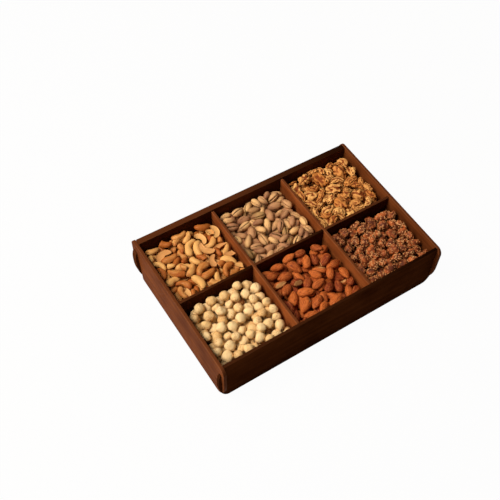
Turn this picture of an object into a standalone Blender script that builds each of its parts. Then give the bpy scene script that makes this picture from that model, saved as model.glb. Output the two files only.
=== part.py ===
"""A gift tray of six compartments filled with nuts, as separate solids.

The tray is five boards: a base between a front, a back and two side boards, which cross each
other at the corners in half-lap joints and run past them with rounded ends. A long divider and
two cross dividers, halved into each other, stand loose inside. Each compartment holds a fill of
one kind of nut and a few whole nuts lying on top of it.

Metres, +Z up. The origin is on the floor under the middle of the tray, +X runs along its length
and +Y to its rear.
"""

import math
import random

import bmesh
import bpy
import numpy as np
from mathutils import Euler, Matrix, Vector
from mathutils.bvhtree import BVHTree

# Driving sizes of the tray

compartment_length = 0.0985
compartment_depth = 0.0930
columns = 3
rows = 2
tray_height = 0.0700
board_thickness = 0.0040
back_board_thickness = 0.0080
base_thickness = 0.0040
divider_thickness = 0.0035
divider_below_rim = 0.0018

# How far each board runs past the one it crosses, and how its ends are rounded

long_run_past = 0.0070
side_run_past = 0.0050
long_top_radius = 0.0120
long_bottom_radius = 0.0220
side_top_radius = 0.0100
side_bottom_radius = 0.0180
corner_steps = 7
lap_share = 0.5
weld_distance = 0.00001
flat_angle = math.radians(1)

# Fits and small edges

fit_gap = 0.0003
arris = 0.0007
divider_arris = 0.0008
cut_overrun = 0.0020
arris_angle = math.radians(50)

# The fills

fill_clearance = 0.0010
long_nut_level = 0.0450
round_nut_level = 0.0435
walnut_level = 0.0430
seat_gap = 0.0004
seat_step = 0.0001
drop_from = 0.0300
sunk_share = 0.08
long_nut_layout = (4, 4)
round_nut_layout = (5, 4)
walnut_layout = (4, 3)
bed_jitter_share = 0.12
size_spread_share = 0.07
bed_tilt = math.radians(11)
loose_tilt = math.radians(12)
loose_tries = 10
loose_jitter_share = 0.05
loose_place_shares = ((0.24, 0.27), (0.74, 0.24), (0.50, 0.52), (0.25, 0.76), (0.77, 0.75))

# Sizes of one nut of each kind

cashew_span = 0.0215
cashew_girth = 0.0088
cashew_depth = 0.0080
cashew_bend = math.radians(62)
cashew_head_share = 0.16

pistachio_length = 0.0180
pistachio_width = 0.0112
pistachio_depth = 0.0118
pistachio_point_share = 0.20
pistachio_split_width = 0.0026
pistachio_split_reach_share = 0.62

walnut_length = 0.0265
walnut_width = 0.0205
walnut_height = 0.0125
walnut_fold_share = 0.11
walnut_folds = 5
walnut_twist = 2.2
walnut_cleft_share = 0.28
walnut_under_share = 0.35

hazelnut_diameter = 0.0145
hazelnut_length = 0.0150
hazelnut_point_share = 0.16

almond_length = 0.0235
almond_width = 0.0135
almond_depth = 0.0085
almond_taper_share = 0.24
almond_point_share = 0.30

candied_length = 0.0200
candied_width = 0.0165
candied_height = 0.0135
candied_lumps = 7
candied_lump_share = 0.22
candied_lump_reach = 0.55

nut_facets = (10, 6)
walnut_facets = (12, 8)
bed_nut_facets = (8, 5)
bed_walnut_facets = (10, 6)
split_facets = (10, 7)

# Places that follow from these sizes

inner_length = columns * compartment_length + (columns - 1) * divider_thickness
inner_depth = rows * compartment_depth + (rows - 1) * divider_thickness
inner_middle_y = (board_thickness - back_board_thickness) / 2
left_x = -inner_length / 2
right_x = inner_length / 2
front_y = inner_middle_y - inner_depth / 2
back_y = inner_middle_y + inner_depth / 2
long_board_length = inner_length + 2 * (board_thickness + long_run_past)
side_board_length = (
    inner_depth + board_thickness + back_board_thickness + 2 * side_run_past
)
lap_height = tray_height * lap_share
divider_floor = base_thickness + fit_gap
divider_height = tray_height - divider_below_rim - divider_floor
divider_lap = divider_height * lap_share
column_pitch = compartment_length + divider_thickness
row_pitch = compartment_depth + divider_thickness


# Collections and materials


def fresh_collection(name):
    collection = bpy.data.collections.new(name)
    bpy.context.scene.collection.children.link(collection)
    return collection


def finish(name, colour, roughness, metallic=0.0):
    """A Principled material of one colour."""
    material = bpy.data.materials.new(name)
    material.use_nodes = True
    shader = material.node_tree.nodes["Principled BSDF"]
    shader.inputs["Base Color"].default_value = (*colour, 1.0)
    shader.inputs["Roughness"].default_value = roughness
    shader.inputs["Metallic"].default_value = metallic
    material.diffuse_color = (*colour, 1.0)
    return material


def add_object(name, mesh, collection, material=None):
    obj = bpy.data.objects.new(name, mesh)
    collection.objects.link(obj)
    if material:
        obj.data.materials.append(material)
    return obj


def make_cutter(obj):
    obj.hide_render = True
    obj.display_type = "WIRE"


def box_mesh(name, size):
    """A box centred on its own origin."""
    bm = bmesh.new()
    bmesh.ops.create_cube(bm, size=1, matrix=Matrix.Diagonal((*size, 1)))
    mesh = bpy.data.meshes.new(name)
    bm.to_mesh(mesh)
    bm.free()
    return mesh


def soften_arrises(obj, width):
    bevel = obj.modifiers.new("arrises", "BEVEL")
    bevel.width = width
    bevel.segments = 1
    bevel.limit_method = "ANGLE"
    bevel.angle_limit = arris_angle


def subtract(obj, cutter):
    cut = obj.modifiers.new("cut_" + cutter.name, "BOOLEAN")
    cut.operation = "DIFFERENCE"
    cut.object = cutter


# Boards


def arc(centre, radius, start_turn, end_turn):
    """Points on an arc, with the ends given in quarter turns from +X."""
    turns = np.linspace(start_turn, end_turn, corner_steps + 1) * math.pi / 2
    return [
        (centre[0] + radius * math.cos(a), centre[1] + radius * math.sin(a)) for a in turns
    ]


def board_outline(length, height, bottom_radius, top_radius):
    """A board seen from its side: square edges between rounded lower and upper corners."""
    half = length / 2
    return (
        arc((half - bottom_radius, bottom_radius), bottom_radius, -1, 0)
        + arc((half - top_radius, height - top_radius), top_radius, 0, 1)
        + arc((top_radius - half, height - top_radius), top_radius, 1, 2)
        + arc((bottom_radius - half, bottom_radius), bottom_radius, 2, 3)
    )


def sheet_piece(name, outline, thickness, collection, material):
    """An outline in X and Y, cut from a sheet of the given thickness and stood upright."""
    curve = bpy.data.curves.new(name + "_outline", "CURVE")
    curve.dimensions = "2D"
    curve.fill_mode = "BOTH"
    curve.extrude = thickness / 2
    spline = curve.splines.new("POLY")
    spline.points.add(len(outline) - 1)
    for point, (x, y) in zip(spline.points, outline):
        point.co = (x, y, 0, 1)
    spline.use_cyclic_u = True
    guide = bpy.data.objects.new(name + "_outline", curve)
    collection.objects.link(guide)
    bpy.context.view_layer.update()
    graph = bpy.context.evaluated_depsgraph_get()
    mesh = bpy.data.meshes.new_from_object(guide.evaluated_get(graph))
    bpy.data.objects.remove(guide)
    bm = bmesh.new()
    bm.from_mesh(mesh)
    bmesh.ops.remove_doubles(bm, verts=bm.verts, dist=weld_distance)
    bmesh.ops.dissolve_limit(bm, angle_limit=flat_angle, verts=bm.verts, edges=bm.edges)
    bmesh.ops.recalc_face_normals(bm, faces=bm.faces)
    bm.to_mesh(mesh)
    bm.free()
    mesh.name = name
    obj = add_object(name, mesh, collection, material)
    obj.rotation_euler = (math.pi / 2, 0, 0)
    return obj


def slot_cutter(name, place, width, height, depth, cutters):
    """A box that cuts a slot: width along X, depth along Y, height along Z, at its middle."""
    cutter = add_object(name, box_mesh(name, (width, depth, height)), cutters)
    cutter.location = place
    make_cutter(cutter)
    return cutter


def make_long_board(name, y, thickness, parts, cutters, material):
    """The front or back board, with a slot down from its top for each side board."""
    outline = board_outline(
        long_board_length, tray_height, long_bottom_radius, long_top_radius
    )
    board = sheet_piece(name, outline, thickness, parts, material)
    board.location = (0, y, 0)
    slot_height = tray_height - lap_height + cut_overrun + fit_gap / 2
    slot_middle = tray_height + cut_overrun - slot_height / 2
    for side in (-1, 1):
        x = side * (inner_length + board_thickness) / 2
        cutter = slot_cutter(
            f"{name}_slot_{'left' if side < 0 else 'right'}",
            (x, y, slot_middle),
            board_thickness + 2 * fit_gap,
            slot_height,
            thickness + 2 * cut_overrun,
            cutters,
        )
        subtract(board, cutter)
    soften_arrises(board, arris)
    return board


def make_side_board(name, x, parts, cutters, material):
    """The left or right board, with a slot up from its foot for the front and back boards."""
    outline = board_outline(
        side_board_length, tray_height, side_bottom_radius, side_top_radius
    )
    board = sheet_piece(name, outline, board_thickness, parts, material)
    board.rotation_euler = (math.pi / 2, 0, math.pi / 2)
    board.location = (x, 0, 0)
    slot_height = lap_height + cut_overrun + fit_gap / 2
    slot_middle = slot_height / 2 - cut_overrun
    crossings = (
        ("front", front_y - board_thickness / 2, board_thickness),
        ("back", back_y + back_board_thickness / 2, back_board_thickness),
    )
    for place, y, crossing_thickness in crossings:
        cutter = slot_cutter(
            f"{name}_slot_{place}",
            (x, y, slot_middle),
            board_thickness + 2 * cut_overrun,
            slot_height,
            crossing_thickness + 2 * fit_gap,
            cutters,
        )
        subtract(board, cutter)
    soften_arrises(board, arris)
    return board


def make_base(parts, material):
    """The base, flush with the lower edges of the boards around it."""
    size = (inner_length - 2 * fit_gap, inner_depth - 2 * fit_gap, base_thickness)
    base = add_object("base_panel", box_mesh("base_panel", size), parts, material)
    base.location = (0, inner_middle_y, base_thickness / 2)
    return base


# Dividers


def make_long_divider(parts, cutters, material):
    """The divider along the tray, with a slot down from its top for each cross divider."""
    size = (inner_length - 2 * fit_gap, divider_thickness, divider_height)
    divider = add_object("long_divider", box_mesh("long_divider", size), parts, material)
    divider.location = (0, inner_middle_y, divider_floor + divider_height / 2)
    slot_height = divider_height - divider_lap + cut_overrun + fit_gap / 2
    slot_middle = divider_floor + divider_height + cut_overrun - slot_height / 2
    for number in range(1, columns):
        cutter = slot_cutter(
            f"long_divider_slot_{number}",
            (left_x + number * column_pitch - divider_thickness / 2, inner_middle_y, slot_middle),
            divider_thickness + 2 * fit_gap,
            slot_height,
            divider_thickness + 2 * cut_overrun,
            cutters,
        )
        subtract(divider, cutter)
    soften_arrises(divider, divider_arris)
    return divider


def make_cross_divider(number, name, parent, parts, cutters, material):
    """A divider from front to back, with a slot up from its foot for the long divider."""
    size = (divider_thickness, inner_depth - 2 * fit_gap, divider_height)
    x = left_x + number * column_pitch - divider_thickness / 2
    divider = add_object(name, box_mesh(name, size), parts, material)
    divider.parent = parent
    divider.location = Vector((x, inner_middle_y, parent.location.z)) - parent.location
    slot_height = divider_lap + cut_overrun + fit_gap / 2
    slot_middle = divider_floor + slot_height / 2 - cut_overrun
    cutter = slot_cutter(
        f"{name}_slot",
        (x, inner_middle_y, slot_middle),
        divider_thickness + 2 * cut_overrun,
        slot_height,
        divider_thickness + 2 * fit_gap,
        cutters,
    )
    subtract(divider, cutter)
    soften_arrises(divider, divider_arris)
    return divider


# Nuts. Each form takes points of the unit ball, with its poles on X, and moves them.


def cashew_form(ball):
    """A ball drawn out along an arc, thicker at one end."""
    bow = cashew_span / 2 / math.sin(cashew_bend)
    turn = cashew_bend * ball[:, 0]
    girth = 1 + cashew_head_share * ball[:, 0]
    outward = bow + cashew_girth / 2 * ball[:, 1] * girth
    x = outward * np.sin(turn)
    y = outward * np.cos(turn) - bow
    z = cashew_depth / 2 * ball[:, 2] * girth
    return np.stack([x, y, z], axis=1)


def pistachio_form(ball):
    """An oval that narrows to the closed end of the shell."""
    girth = 1 - pistachio_point_share * ball[:, 0]
    x = pistachio_length / 2 * ball[:, 0]
    y = pistachio_width / 2 * ball[:, 1] * girth
    z = pistachio_depth / 2 * ball[:, 2] * girth
    return np.stack([x, y, z], axis=1)


def walnut_form(ball):
    """Half a kernel: folds that wind round it, a cleft along its back and a flatter underside."""
    around = np.arctan2(ball[:, 1], ball[:, 2])
    girth = 1 + walnut_fold_share * np.cos(walnut_folds * around + walnut_twist * ball[:, 0])
    x = walnut_length / 2 * ball[:, 0] * (1 + walnut_fold_share * np.cos(2 * around))
    y = walnut_width / 2 * ball[:, 1] * girth
    cleft = 1 - walnut_cleft_share * np.exp(-((ball[:, 1] / walnut_cleft_share) ** 2))
    back = np.where(ball[:, 2] > 0, cleft, walnut_under_share) / (1 + walnut_under_share)
    z = walnut_height * ball[:, 2] * girth * back
    return np.stack([x, y, z], axis=1)


def hazelnut_form(ball):
    """A ball with a low point at one end."""
    tip = np.clip(ball[:, 0], 0, 1)
    x = hazelnut_length / 2 * ball[:, 0]
    girth = 1 - hazelnut_point_share * tip**2
    y = hazelnut_diameter / 2 * ball[:, 1] * girth
    z = hazelnut_diameter / 2 * ball[:, 2] * girth
    return np.stack([x, y, z], axis=1)


def almond_form(ball):
    """A flattened drop that narrows to a point."""
    tip = np.clip(ball[:, 0], 0, 1)
    girth = 1 - almond_taper_share * ball[:, 0] - almond_point_share * tip**3
    x = almond_length / 2 * ball[:, 0]
    y = almond_width / 2 * ball[:, 1] * girth
    z = almond_depth / 2 * ball[:, 2] * girth
    return np.stack([x, y, z], axis=1)


def candied_form(ball):
    """A ball with lumps spread over it along a spiral."""
    girth = np.ones(len(ball))
    for lump in range(candied_lumps):
        height = 1 - 2 * (lump + 0.5) / candied_lumps
        turn = lump * math.pi * (3 - math.sqrt(5))
        ring = math.sqrt(1 - height * height)
        towards = np.array([height, ring * math.cos(turn), ring * math.sin(turn)])
        near = np.clip(ball @ towards - candied_lump_reach, 0, 1)
        girth = girth + candied_lump_share * near / (1 - candied_lump_reach)
    girth = girth / (1 + candied_lump_share)
    size = np.array([candied_length, candied_width, candied_height]) / 2
    return ball * girth[:, None] * size


def nut_mesh(name, form, facets):
    """A ball with its poles on X, shaped by a form and shaded smooth."""
    bm = bmesh.new()
    bmesh.ops.create_uvsphere(
        bm,
        u_segments=facets[0],
        v_segments=facets[1],
        radius=1,
        matrix=Matrix.Rotation(math.pi / 2, 4, "Y"),
    )
    ball = np.array([vert.co[:] for vert in bm.verts])
    for vert, point in zip(bm.verts, form(ball)):
        vert.co = point
    bmesh.ops.triangulate(bm, faces=bm.faces)
    bmesh.ops.recalc_face_normals(bm, faces=bm.faces)
    mesh = bpy.data.meshes.new(name)
    bm.to_mesh(mesh)
    bm.free()
    mesh.shade_smooth()
    return mesh


def split_cutter_mesh():
    """A thin lens that opens a pistachio shell from its wide end."""
    bm = bmesh.new()
    reach = pistachio_length * pistachio_split_reach_share
    size = Matrix.Diagonal((reach, pistachio_split_width / 2, pistachio_depth / 2, 1))
    place = Matrix.Translation((-pistachio_length / 2, 0, pistachio_depth / 2))
    bmesh.ops.create_uvsphere(
        bm,
        u_segments=split_facets[0],
        v_segments=split_facets[1],
        radius=1,
        matrix=place @ size,
    )
    mesh = bpy.data.meshes.new("pistachio_split")
    bm.to_mesh(mesh)
    bm.free()
    return mesh


# Fills


def world_shape(obj):
    """The points and triangles of an object as it is evaluated, in world space."""
    bpy.context.view_layer.update()
    graph = bpy.context.evaluated_depsgraph_get()
    evaluated = obj.evaluated_get(graph)
    mesh = evaluated.to_mesh()
    mesh.calc_loop_triangles()
    points = [evaluated.matrix_world @ vert.co for vert in mesh.vertices]
    faces = [tuple(triangle.vertices) for triangle in mesh.loop_triangles]
    evaluated.to_mesh_clear()
    return points, faces


def moved(points, matrix):
    return [matrix @ point for point in points]


def inside_shift(points, room):
    """How far a nut moves sideways to stay inside its compartment."""
    shift = Vector((0, 0, 0))
    for axis in (0, 1):
        low = min(point[axis] for point in points)
        high = max(point[axis] for point in points)
        shift[axis] = max(room[0][axis] - low, 0) + min(room[1][axis] - high, 0)
    return shift


def fall(points, faces, pile):
    """How far a nut falls before it meets the pile, less the gap that it keeps."""
    down = Vector((0, 0, -1))
    own_tree = BVHTree.FromPolygons(points, faces)
    distances = []
    for pile_points, _, pile_tree in pile:
        for point in points:
            distances.append(pile_tree.ray_cast(point, down)[3])
        for point in pile_points:
            distances.append(own_tree.ray_cast(point, -down)[3])
    drop = min(distance for distance in distances if distance is not None)
    lowered = moved(points, Matrix.Translation(down * drop))
    while any(BVHTree.FromPolygons(lowered, faces).overlap(tree) for _, _, tree in pile):
        drop -= seat_step
        lowered = moved(points, Matrix.Translation(down * drop))
    return drop - seat_gap


def place_loose_nut(mesh, share, room, pile, draw):
    """The lowest of several tries at laying a nut on the pile near its place."""
    local = [vert.co.copy() for vert in mesh.vertices]
    faces = [tuple(polygon.vertices) for polygon in mesh.polygons]
    size = room[1] - room[0]
    best = None
    for _ in range(loose_tries):
        turn = Euler(
            (
                draw.uniform(-loose_tilt, loose_tilt),
                draw.uniform(-loose_tilt, loose_tilt),
                draw.uniform(-math.pi, math.pi),
            )
        )
        spot = Vector(
            (
                room[0].x + size.x * (share[0] + draw.uniform(-1, 1) * loose_jitter_share),
                room[0].y + size.y * (share[1] + draw.uniform(-1, 1) * loose_jitter_share),
                room[1].z + drop_from,
            )
        )
        scale = 1 + draw.uniform(-1, 1) * size_spread_share
        matrix = Matrix.LocRotScale(spot, turn, Vector((scale, scale, scale)))
        points = moved(local, matrix)
        matrix = Matrix.Translation(inside_shift(points, room)) @ matrix
        points = moved(local, matrix)
        matrix = Matrix.Translation((0, 0, -fall(points, faces, pile))) @ matrix
        if best is None or matrix.translation.z < best.translation.z:
            best = matrix
    return best


def make_fill(kind, column, row, form, facets, bed_facets, layout, level, seed, parts, cutters, material):
    """One compartment's fill, with a bed of half-sunk nuts, and the whole nuts that lie on it."""
    draw = random.Random(seed)
    low = Vector((left_x + column * column_pitch, front_y + row * row_pitch, divider_floor))
    high = low + Vector((compartment_length, compartment_depth, level))
    clear = Vector((fill_clearance, fill_clearance, 0))
    room = (low + clear, high - clear)
    size = room[1] - room[0]
    middle = (room[0] + room[1]) / 2
    bed = add_object(f"{kind}_fill", box_mesh(f"{kind}_fill", size), parts, material)
    bed.location = middle
    shape = nut_mesh(kind, form, bed_facets)
    local = [vert.co.copy() for vert in shape.vertices]
    sunk = bpy.data.collections.new(f"{kind}_bed_nuts")
    cutters.children.link(sunk)
    for i in range(layout[0]):
        for j in range(layout[1]):
            share = Vector(
                (
                    (i + 0.5 + draw.uniform(-1, 1) * bed_jitter_share) / layout[0],
                    (j + 0.5 + draw.uniform(-1, 1) * bed_jitter_share) / layout[1],
                    1,
                )
            )
            turn = Euler(
                (
                    draw.uniform(-bed_tilt, bed_tilt),
                    draw.uniform(-bed_tilt, bed_tilt),
                    draw.uniform(-math.pi, math.pi),
                )
            )
            matrix = Matrix.LocRotScale(room[0] + share * size, turn, None)
            points = moved(local, matrix)
            height = max(point.z for point in points) - min(point.z for point in points)
            shift = inside_shift(points, (room[0] + clear, room[1] - clear))
            shift.z = -height * sunk_share
            nut = add_object(f"{kind}_bed_nut_{i}_{j}", shape, sunk)
            nut.matrix_world = Matrix.Translation(shift) @ matrix
            make_cutter(nut)
    join = bed.modifiers.new("bed_nuts", "BOOLEAN")
    join.operation = "UNION"
    join.operand_type = "COLLECTION"
    join.collection = sunk
    points, faces = world_shape(bed)
    pile = [(points, faces, BVHTree.FromPolygons(points, faces))]
    for number, place in enumerate(loose_place_shares, 1):
        name = f"{kind}_{number}"
        mesh = nut_mesh(name, form, facets)
        nut = add_object(name, mesh, parts, material)
        matrix = place_loose_nut(mesh, place, (room[0] + clear, room[1] - clear), pile, draw)
        nut.parent = bed
        nut.matrix_local = Matrix.Translation(-middle) @ matrix
        if form is pistachio_form:
            split = add_object(f"{name}_split", split_cutter_mesh(), cutters)
            split.parent = nut
            make_cutter(split)
            subtract(nut, split)
        own_points = moved([vert.co.copy() for vert in mesh.vertices], matrix)
        own_faces = [tuple(polygon.vertices) for polygon in mesh.polygons]
        pile.append((own_points, own_faces, BVHTree.FromPolygons(own_points, own_faces)))
    return bed


# The whole tray


def main():
    for obj in list(bpy.data.objects):
        bpy.data.objects.remove(obj)
    parts = fresh_collection("nut_gift_tray")
    cutters = fresh_collection("cutters")

    stained = finish("stained_board", (0.130, 0.055, 0.022), 0.45)
    base_finish = finish("base_board", (0.075, 0.030, 0.012), 0.60)
    divider_finish = finish("divider_board", (0.150, 0.065, 0.027), 0.50)
    front_middle = front_y - board_thickness / 2
    back_middle = back_y + back_board_thickness / 2
    side_middle = (inner_length + board_thickness) / 2
    make_base(parts, base_finish)
    make_long_board("front_board", front_middle, board_thickness, parts, cutters, stained)
    make_long_board("back_board", back_middle, back_board_thickness, parts, cutters, stained)
    make_side_board("left_board", -side_middle, parts, cutters, stained)
    make_side_board("right_board", side_middle, parts, cutters, stained)
    long_divider = make_long_divider(parts, cutters, divider_finish)
    for number, side in enumerate(("left", "right"), 1):
        name = f"{side}_cross_divider"
        make_cross_divider(number, name, long_divider, parts, cutters, divider_finish)

    long_nuts = (nut_facets, bed_nut_facets, long_nut_layout, long_nut_level)
    round_nuts = (nut_facets, bed_nut_facets, round_nut_layout, round_nut_level)
    folded_nuts = (walnut_facets, bed_walnut_facets, walnut_layout, walnut_level)
    kinds = (
        ("cashew", 0, 1, cashew_form, long_nuts, (0.68, 0.40, 0.13), 0.45),
        ("pistachio", 1, 1, pistachio_form, round_nuts, (0.56, 0.40, 0.24), 0.55),
        ("walnut", 2, 1, walnut_form, folded_nuts, (0.55, 0.33, 0.13), 0.60),
        ("hazelnut", 0, 0, hazelnut_form, round_nuts, (0.80, 0.62, 0.36), 0.50),
        ("almond", 1, 0, almond_form, long_nuts, (0.33, 0.11, 0.035), 0.55),
        ("candied_nut", 2, 0, candied_form, long_nuts, (0.24, 0.08, 0.03), 0.35),
    )
    for seed, (kind, column, row, form, detail, colour, roughness) in enumerate(kinds, 1):
        material = finish(kind, colour, roughness)
        make_fill(kind, column, row, form, *detail, seed, parts, cutters, material)


main()
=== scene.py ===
"""The looks of the nut gift tray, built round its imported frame.

The boards and dividers are rounded slabs of stained wood. Each compartment is filled nut by nut:
every nut gets its own form, and is dropped where it comes to lie lowest in the heap so far. The
five loose nuts of each compartment lie where the frame has them, and the heap stays below them.
"""

import math

import bpy
import numpy as np
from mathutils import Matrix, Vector


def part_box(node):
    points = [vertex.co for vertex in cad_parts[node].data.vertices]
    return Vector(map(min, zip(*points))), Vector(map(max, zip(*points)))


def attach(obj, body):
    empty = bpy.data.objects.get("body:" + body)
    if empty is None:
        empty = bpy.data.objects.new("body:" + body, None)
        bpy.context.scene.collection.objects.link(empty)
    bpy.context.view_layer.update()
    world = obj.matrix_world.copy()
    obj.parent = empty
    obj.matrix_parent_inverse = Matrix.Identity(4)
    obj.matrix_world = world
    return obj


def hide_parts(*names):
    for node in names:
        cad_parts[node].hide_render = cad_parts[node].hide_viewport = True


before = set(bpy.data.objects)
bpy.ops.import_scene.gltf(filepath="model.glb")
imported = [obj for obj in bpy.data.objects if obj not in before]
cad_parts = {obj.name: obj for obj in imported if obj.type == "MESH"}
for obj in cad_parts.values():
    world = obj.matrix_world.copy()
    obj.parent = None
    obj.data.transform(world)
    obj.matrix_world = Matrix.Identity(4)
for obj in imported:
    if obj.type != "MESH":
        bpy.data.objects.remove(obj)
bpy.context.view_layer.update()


# Camera, at the photograph's angle. The focal length and the middle of the picture are pixels of
# its 500 by 500 frame, the turns are radians and the place is in metres.

picture_size = 500
focal_pixels = 716.7
middle_u = 303.6
middle_v = 323.9
sensor_width = 36.0
camera_place = (-0.3170, -0.4107, 0.7634)
camera_turns = (0.5311, -0.0689, -0.5995)

camera_data = bpy.data.cameras.new("camera")
camera_data.sensor_width = sensor_width
camera_data.lens = focal_pixels * sensor_width / picture_size
camera_data.shift_x = (picture_size / 2 - middle_u) / picture_size
camera_data.shift_y = (middle_v - picture_size / 2) / picture_size
camera_data.clip_start = 0.01
camera = bpy.data.objects.new("camera", camera_data)
camera.location = camera_place
camera.rotation_euler = camera_turns
bpy.context.scene.collection.objects.link(camera)
bpy.context.scene.camera = camera
bpy.context.scene.view_settings.view_transform = "Standard"


# Boards: four boards of brown-stained plywood, cut to an outline with rounded ears. They cross in
# half-lap slots, the side boards over the long ones, and are glued there. The long boards are
# painted darker than the side boards, and the side boards darker than the dividers: painted shade
# for the faces that the lamps reach least. The front one is darker still on its cut edge. The
# middles of the rounded arrises are lightened, partly as rubbed wear and partly as a painted
# highlight.

arris = 0.0006
arris_steps = 4
ear_steps = 16
slot_gap = 0.0003
lap_share = 0.5
ear_trim = 0.0030
long_foot_corner = (0.014, 0.034, 0)
long_top_corner = (0.0042, 0.016, 0.014)
side_foot_corner = (0.018, 0.036, 0)
side_top_corner = (0.008, 0.010, 0)
wood_dark = (0.150, 0.038, 0.010)
wood_light = (0.370, 0.110, 0.032)
wood_cut = (0.125, 0.038, 0.014)
# This colour lightens the middle of each arris: partly rubbed wear, partly a painted highlight.
wood_wear_and_highlight = (0.340, 0.150, 0.075)
# Painted shade: these shades darken the faces of the long boards and of the side boards.
long_painted_shade = 0.29
side_painted_shade = 0.52
edge_shade = 0.55
front_edge_shade = 0.26
side_edge_shade = 0.85
side_gloss = 0.006
streaks_along = 7.0
streaks_across = 150.0
pores_along = 45.0
pores_across = 900.0
wood_relief = 0.00025
wear_and_highlight_share = 0.35


class Wire:
    """A node's output. Sums and products of wires and numbers become Math nodes."""

    def __init__(self, tree, socket):
        self.tree = tree
        self.socket = socket

    def node(self, kind, settings, inputs, output=0):
        """Adds any node to the same tree, plugs in wires and numbers, and gives an output."""
        node = self.tree.nodes.new(kind)
        for name, value in settings.items():
            setattr(node, name, value)
        for name, value in inputs.items():
            plug(self.tree, value, node.inputs[name])
        return Wire(self.tree, node.outputs[output])

    def math(self, operation, *others):
        """A Math node of this wire and the others."""
        inputs = dict(enumerate((self, *others)))
        return self.node("ShaderNodeMath", {"operation": operation}, inputs)

    def __add__(self, other):
        return self.math("ADD", other)

    def __sub__(self, other):
        return self.math("SUBTRACT", other)

    def __mul__(self, other):
        return self.math("MULTIPLY", other)

    def __rsub__(self, other):
        return self * -1 + other

    __radd__ = __add__

    def rise(self, low, high):
        """From 0 at low to 1 at high, smoothly, and level beyond them."""
        settings = {"interpolation_type": "SMOOTHSTEP"}
        return self.node("ShaderNodeMapRange", settings, {"Value": self, 1: low, 2: high})

    def between(self, first, second):
        """The first colour where this is 0, the second where it is 1."""
        inputs = {0: self, 6: first, 7: second}
        return self.node("ShaderNodeMix", {"data_type": "RGBA"}, inputs, output=2)

    def stretched(self, scales):
        """This vector with each of its parts multiplied."""
        inputs = {0: self, 1: scales}
        return self.node("ShaderNodeVectorMath", {"operation": "MULTIPLY"}, inputs)

    def noise(self, scale, detail=3.0, roughness=0.55):
        """Cloudy noise over this vector, from about 0.2 to 0.8."""
        inputs = {"Vector": self, "Scale": scale, "Detail": detail, "Roughness": roughness}
        return self.node("ShaderNodeTexNoise", {}, inputs)

    def bump(self, distance, strength=1.0):
        """A normal from this height, which reaches distance in metres where it is 1."""
        inputs = {"Height": self, "Distance": distance, "Strength": strength}
        return self.node("ShaderNodeBump", {}, inputs)


def plug(tree, value, socket):
    """Joins a wire to a socket, or sets the socket to a number or a colour."""
    if isinstance(value, Wire):
        tree.links.new(value.socket, socket)
    elif isinstance(value, tuple) and socket.type == "RGBA":
        socket.default_value = (*value, 1.0)
    else:
        socket.default_value = value


def new_material(name, **constants):
    """A Principled material. Gives it, a wire of the place in the object and a plug function."""
    material = bpy.data.materials.new(name)
    material.use_nodes = True
    tree = material.node_tree
    shader = tree.nodes["Principled BSDF"]
    for key, value in constants.items():
        plug(tree, value, shader.inputs[key.replace("_", " ")])
    place = Wire(tree, tree.nodes.new("ShaderNodeTexCoord").outputs["Object"])

    def paint(**wires):
        for key, value in wires.items():
            plug(tree, value, shader.inputs[key.replace("_", " ")])

    return material, place, paint


def stored(place, name):
    """A value that the mesh keeps at its points: a number, or a vector for grain."""
    output = "Vector" if name == "grain" else "Fac"
    return place.node("ShaderNodeAttribute", {"attribute_name": name}, {}, output)


def wood_material(name, grain_axis, shade, edges=0.0, gloss=0.0):
    """Stained wood whose grain runs along an axis, 0 for X and 1 for Y.

    Shade darkens its faces, as painted shade on the long and side boards, and edges its cut edges,
    where it has any.
    """
    material, place, paint = new_material(name, Specular_IOR_Level=gloss)
    streaks = [streaks_across] * 3
    streaks[grain_axis] = streaks_along
    pores = [pores_across] * 3
    pores[grain_axis] = pores_along
    wide = place.stretched(tuple(streaks)).noise(1.0, 4.0)
    fine = place.stretched(tuple(pores)).noise(1.0, 2.0)
    cloud = place.noise(22.0, 2.0)
    tone = (wide * 0.4 + fine * 0.12 + cloud * 0.55).rise(0.33, 0.76)
    dark = tuple(shade * part for part in wood_dark)
    light = tuple(shade * part for part in wood_light)
    colour = tone.between(dark, light)
    if edges:
        cut = tuple(edges * part for part in wood_cut)
        wear_and_highlight = tuple(edges * part for part in wood_wear_and_highlight)
        plies = (cloud * 0.6 + fine * 0.4).rise(0.35, 0.65)
        colour = (stored(place, "cut") * (0.75 + plies * 0.25)).between(colour, cut)
        # Rubbed wear and painted highlight: the arrises' middles lighten toward this colour.
        wear_and_highlight_mask = stored(place, "wear") * (cloud * 0.5 + fine * 0.9).rise(0.45, 0.80)
        colour = (wear_and_highlight_mask * wear_and_highlight_share).between(colour, wear_and_highlight)
    paint(
        Base_Color=colour,
        Roughness=fine * 0.25 + 0.42,
        Normal=(wide * 0.4 + fine * 0.6).bump(wood_relief, 0.5),
    )
    return material


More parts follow.
